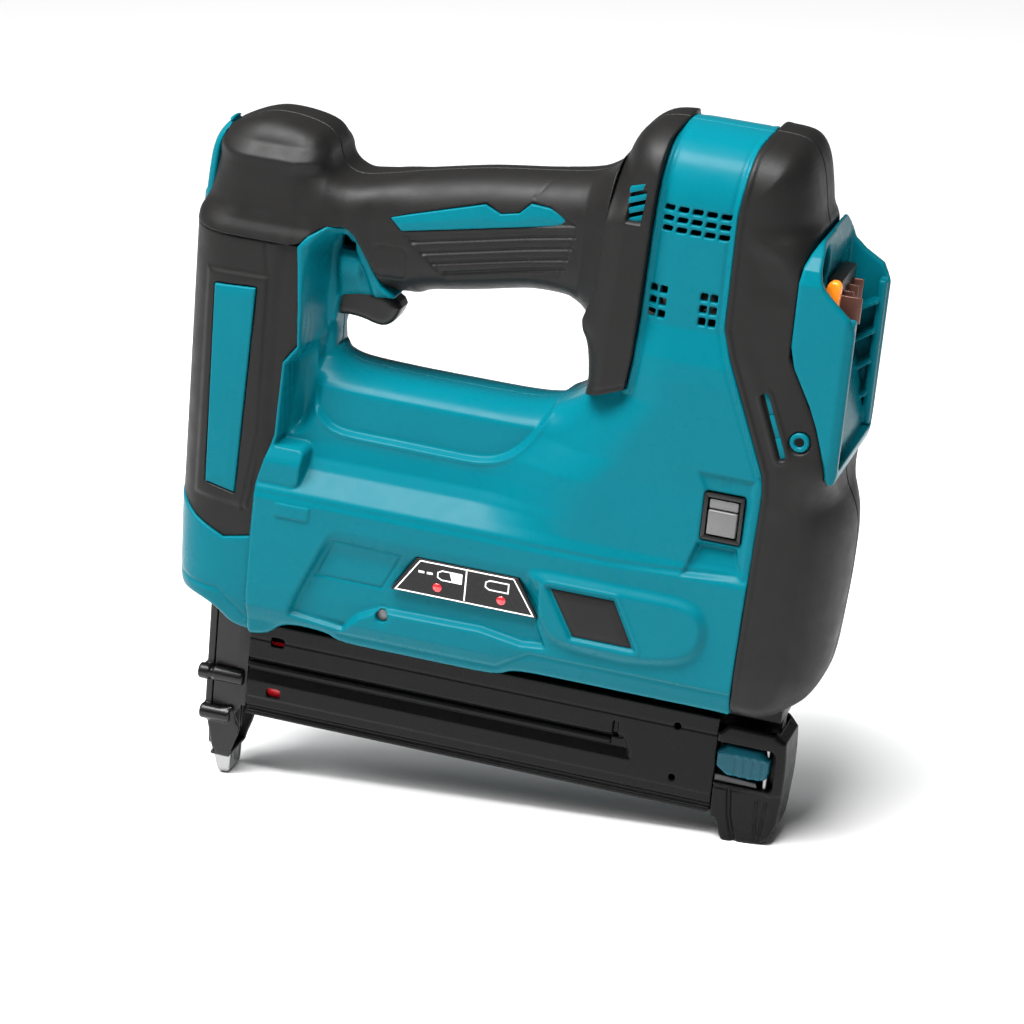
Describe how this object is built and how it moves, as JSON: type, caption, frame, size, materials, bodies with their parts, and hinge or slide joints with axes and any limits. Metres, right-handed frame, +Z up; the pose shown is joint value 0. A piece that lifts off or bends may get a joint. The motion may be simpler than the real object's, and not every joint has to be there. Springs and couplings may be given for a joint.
{
  "type": "brad nailer",
  "caption": "Cordless brad nailer with a looped handle, a rear battery tray, a sliding straight magazine and a sprung contact arm.",
  "frame": {"origin": "centre of the bounding box's bottom face, on the floor the tool stands on", "axes": "+X from the nose back to the battery tray, +Y to the tool's right hand side, +Z up from the floor it stands on"},
  "size_m": [0.2596, 0.072, 0.2714],
  "materials": {
    "body_plastic": "satin",
    "grip_rubber": "fine texture",
    "dark_plastic": "satin",
    "mag_plastic": "satin",
    "latch_plastic": "satin",
    "button_grey": "satin",
    "orange_plastic": "gloss",
    "label_film": "gloss",
    "red_lens": "gloss",
    "red_plastic": "satin",
    "steel": "ground",
    "dark_steel": "black oxide",
    "bright_steel": "polished",
    "copper_alloy": "oxidised",
    "aluminium": "cast and machined",
    "seal_rubber": "smooth",
    "board": "solder resist"
  },
  "bodies": {
    "tool": {"air_tube": "aluminium", "battery_mount": "body_plastic", "bay_plate": "copper_alloy", "button_frame": "dark_plastic", "circuit_boards": "board", "column_cover_left": "grip_rubber", "column_cover_right": "grip_rubber", "compressor_cylinder": "aluminium", "contact_spring": "steel", "cylinder_head": "aluminium", "drive_bumper": "seal_rubber", "drive_cylinder": "aluminium", "front_guard": "grip_rubber", "gear_frame": "aluminium", "grip_head_left": "grip_rubber", "grip_head_right": "grip_rubber", "grip_inlays": "body_plastic", "head_spine": "body_plastic", "hook_inserts": "body_plastic", "housing_left": "body_plastic", "housing_right": "body_plastic", "housing_screws": "steel", "indicator_label": "label_film", "indicator_lights": "red_lens", "magazine_rail": "mag_plastic", "motor_can": "steel", "name_plates": "body_plastic", "nose_body": "dark_steel", "nose_cover": "body_plastic", "rear_bumper_left": "grip_rubber", "rear_bumper_right": "grip_rubber", "side_pads": "grip_rubber", "switches": "dark_plastic", "terminal_block": "orange_plastic", "terminals": "copper_alloy", "trigger_pin": "steel", "trigger_spring": "steel"},
    "trigger": {"trigger": "dark_plastic"},
    "contact": {"contact_arm": "dark_steel", "contact_tip": "bright_steel"},
    "depth_dial": {"depth_dial": "dark_plastic"},
    "magazine": {"magazine_cover": "mag_plastic", "magazine_foot": "mag_plastic", "latch_plate": "bright_steel", "latch_pin": "steel", "pusher_spring": "steel"},
    "pusher": {"pusher": "red_plastic"},
    "latch": {"latch_lever": "latch_plastic"},
    "button": {"mode_button": "button_grey"},
    "motor_rotor": {"rotor": "steel", "motor_pinion": "steel", "motor_fan": "dark_plastic"},
    "idler": {"idler_gear": "steel"},
    "output": {"last_gear": "steel", "drive_shaft": "steel"},
    "compressor": {"compressor_piston": "aluminium", "piston_rack": "steel"},
    "driver": {"drive_piston": "aluminium", "piston_seals": "seal_rubber", "driver_blade": "steel"}
  },
  "joints": [
    {"name": "trigger_pull", "type": "hinge", "parent": "tool", "child": "trigger", "pos_m": [-0.06769, 0, 0.21015], "axis": [0, -1, 0], "range_deg": [0, 9], "stiffness_Nm_per_rad": 0.6, "springref_deg": -14.32, "deforming": ["trigger_spring"]},
    {"name": "contact_slide", "type": "slide", "parent": "tool", "child": "contact", "axis": [0.0957, 0, 0.9954], "range_m": [0, 0.0065], "stiffness_N_per_m": 3000, "springref_m": -0.012, "deforming": ["contact_spring"]},
    {"name": "depth_turn", "type": "hinge", "parent": "tool", "child": "depth_dial", "pos_m": [-0.10886, 0.0134, 0.07446], "axis": [0.0957, 0, 0.9954], "range_deg": [-120, 120]},
    {"name": "magazine_slide", "type": "slide", "parent": "tool", "child": "magazine", "axis": [0.9954, 0, -0.0957], "range_m": [0, 0.15]},
    {"name": "pusher_slide", "type": "slide", "parent": "magazine", "child": "pusher", "axis": [0.9954, 0, -0.0957], "range_m": [0, 0.13], "stiffness_N_per_m": 30, "springref_m": -0.2, "deforming": ["pusher_spring"]},
    {"name": "latch_turn", "type": "hinge", "parent": "magazine", "child": "latch", "pos_m": [0.09678, -0.0088, 0.02958], "axis": [0.0957, 0, 0.9954], "range_deg": [0, 16], "stiffness_Nm_per_rad": 0.4, "springref_deg": -17.19},
    {"name": "button_press", "type": "slide", "parent": "tool", "child": "button", "axis": [0, 1, 0], "range_m": [0, 0.0008], "stiffness_N_per_m": 900, "springref_m": -0.001},
    {"name": "rotor_turn", "type": "hinge", "parent": "tool", "child": "motor_rotor", "pos_m": [0.06508, 0, 0.2014], "axis": [0, 1, 0], "range_deg": [0, 5683.74]},
    {"name": "idler_turn", "type": "hinge", "parent": "tool", "child": "idler", "pos_m": [0.07623, 0, 0.16717], "axis": [0, 1, 0], "range_deg": [-917.73, 1]},
    {"name": "output_turn", "type": "hinge", "parent": "tool", "child": "output", "pos_m": [0.07303, 0, 0.1273], "axis": [0, 1, 0], "range_deg": [-1, 230.18]},
    {"name": "compressor_slide", "type": "slide", "parent": "tool", "child": "compressor", "axis": [-0.9954, 0, 0.0957], "range_m": [-0.0002, 0.0402]},
    {"name": "driver_slide", "type": "slide", "parent": "tool", "child": "driver", "axis": [-0.0957, 0, -0.9954], "range_m": [0, 0.076]}
  ],
  "couplings": [
    {"joint": "idler_turn", "follows": "rotor_turn", "ratio": -0.16129},
    {"joint": "output_turn", "follows": "rotor_turn", "ratio": 0.040323},
    {"joint": "compressor_slide", "follows": "rotor_turn", "m_per_rad": 0.00040323}
  ]
}
